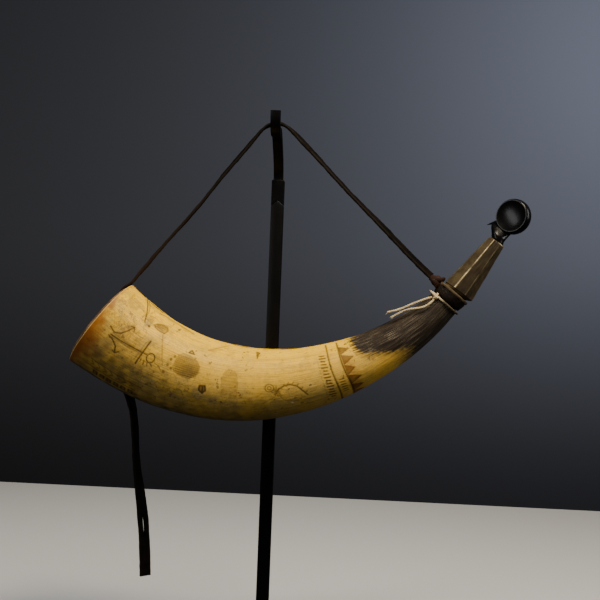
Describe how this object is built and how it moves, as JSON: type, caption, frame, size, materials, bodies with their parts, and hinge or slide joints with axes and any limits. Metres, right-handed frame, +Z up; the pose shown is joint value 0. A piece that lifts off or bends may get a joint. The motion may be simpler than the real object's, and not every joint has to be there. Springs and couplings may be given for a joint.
{
  "type": "powder horn on stand",
  "caption": "Curved cow horn powder flask with engraved sides, scraped spout, stopper and leather strap, hanging from a hook on a slim upright stand.",
  "frame": {"origin": "middle of the underside of the stand's foot", "axes": "+X from the horn's wide base towards its spout, the engraved front faces -Y, +Z up along the post"},
  "size_m": [0.3627, 0.12, 0.4341],
  "materials": {
    "horn": "satin cream-yellow horn, dark grey-brown towards the throat, rusty stains at the rim",
    "plug_wood": "worn brown turned wood",
    "iron": "dark forged wire",
    "leather": "worn black-brown strap leather",
    "twine": "cream plied twine",
    "stopper_black": "polished black",
    "black_steel": "satin black"
  },
  "bodies": {
    "root": {"horn_body": "horn", "base_plug": "plug_wood", "strap_staple": "iron", "strap_base_knot": "leather", "strap": "leather", "strap_tail": "leather", "throat_loop": "leather", "twine_tie": "twine", "twine_end_upper": "twine", "twine_end_lower": "twine", "stopper": "stopper_black", "stand_foot": "black_steel", "stand_post": "black_steel", "hook_socket": "black_steel", "hook_rod": "black_steel"}
  },
  "joints": []
}
